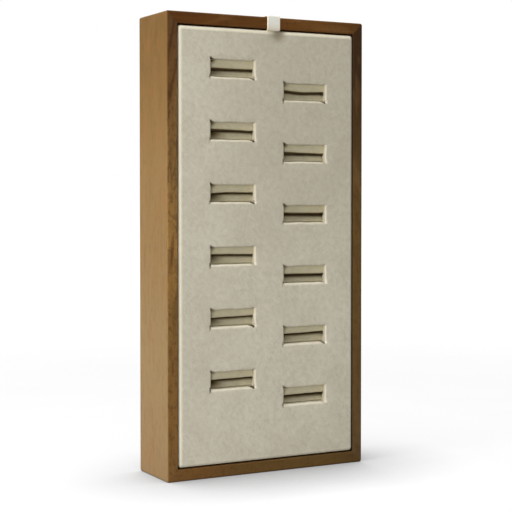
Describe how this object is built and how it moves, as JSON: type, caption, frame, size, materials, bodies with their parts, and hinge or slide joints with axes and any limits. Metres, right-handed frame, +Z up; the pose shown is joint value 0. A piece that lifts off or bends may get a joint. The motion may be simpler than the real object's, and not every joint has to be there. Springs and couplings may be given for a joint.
{
  "type": "ring display tray",
  "caption": "Upright wooden ring display tray with a lift-out padded insert, two staggered columns of padded ring slots and a pull ribbon.",
  "frame": {"origin": "centre of the tray's footprint, on the surface it stands on", "axes": "+X to the right seen from the front, +Y from the padded front to the felt back, +Z up"},
  "size_m": [0.122, 0.0378, 0.2508],
  "materials": {
    "frame_wood": "satin lacquer",
    "ledge_wood": "bare",
    "base_plywood": "bare",
    "felt": "felt",
    "cover_suede": "suede cloth",
    "lip_suede": "suede cloth",
    "foam": "foam",
    "card": "grey board",
    "ribbon": "grosgrain"
  },
  "bodies": {
    "tray": {"left_stile": "frame_wood", "right_stile": "frame_wood", "top_rail": "frame_wood", "bottom_rail": "frame_wood", "base_board": "base_plywood", "back_felt": "felt", "left_ledge": "ledge_wood", "right_ledge": "ledge_wood", "top_ledge": "ledge_wood", "bottom_ledge": "ledge_wood"},
    "pad": {"pad_foam": "foam", "pad_board": "card", "pad_wall_left": "card", "pad_wall_right": "card", "pad_wall_top": "card", "pad_wall_bottom": "card", "pad_back_card": "card", "pad_cover": "cover_suede", "pull_ribbon": "ribbon", "upper_lip_01": "lip_suede", "lower_lip_01": "lip_suede", "upper_lip_02": "lip_suede", "lower_lip_02": "lip_suede", "upper_lip_03": "lip_suede", "lower_lip_03": "lip_suede", "upper_lip_04": "lip_suede", "lower_lip_04": "lip_suede", "upper_lip_05": "lip_suede", "lower_lip_05": "lip_suede", "upper_lip_06": "lip_suede", "lower_lip_06": "lip_suede", "upper_lip_07": "lip_suede", "lower_lip_07": "lip_suede", "upper_lip_08": "lip_suede", "lower_lip_08": "lip_suede", "upper_lip_09": "lip_suede", "lower_lip_09": "lip_suede", "upper_lip_10": "lip_suede", "lower_lip_10": "lip_suede", "upper_lip_11": "lip_suede", "lower_lip_11": "lip_suede", "upper_lip_12": "lip_suede", "lower_lip_12": "lip_suede"}
  },
  "joints": [
    {"name": "pad_lift", "type": "slide", "parent": "tray", "child": "pad", "axis": [0, -1, 0], "range_m": [0, 0.03]}
  ]
}
